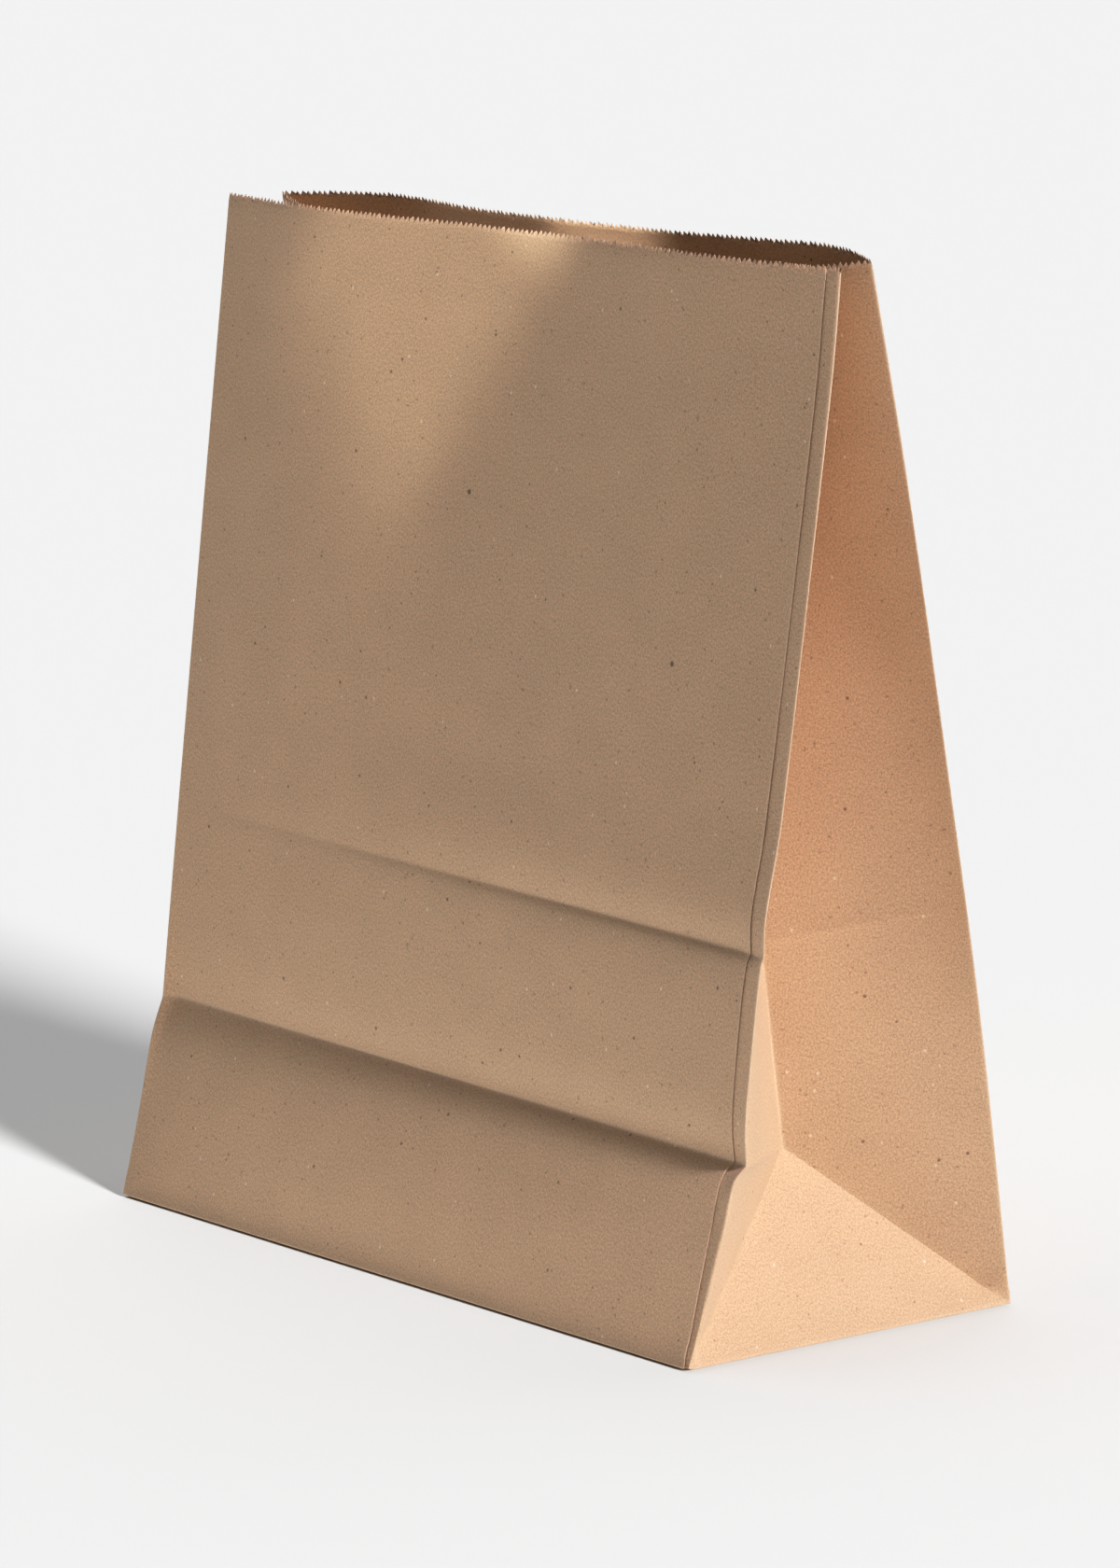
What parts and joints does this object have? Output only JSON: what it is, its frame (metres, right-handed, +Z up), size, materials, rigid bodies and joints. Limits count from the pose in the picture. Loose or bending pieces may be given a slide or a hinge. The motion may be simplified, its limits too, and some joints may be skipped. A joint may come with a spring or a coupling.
{
  "type": "brown paper bag",
  "caption": "Plain brown kraft paper bag with square folded bottom, side gussets, glued side lap and toothed open mouth, standing open.",
  "frame": {"origin": "middle of the base, on the surface the bag stands on", "axes": "+Z up to the mouth, X along the wide panels, -Y out of the front panel that carries the glued lap"},
  "size_m": [0.2534, 0.1121, 0.2826],
  "materials": {
    "kraft_paper": "matt uncoated brown kraft with visible fibres"
  },
  "bodies": {
    "root": {"paper_bag": "kraft_paper"}
  },
  "joints": []
}
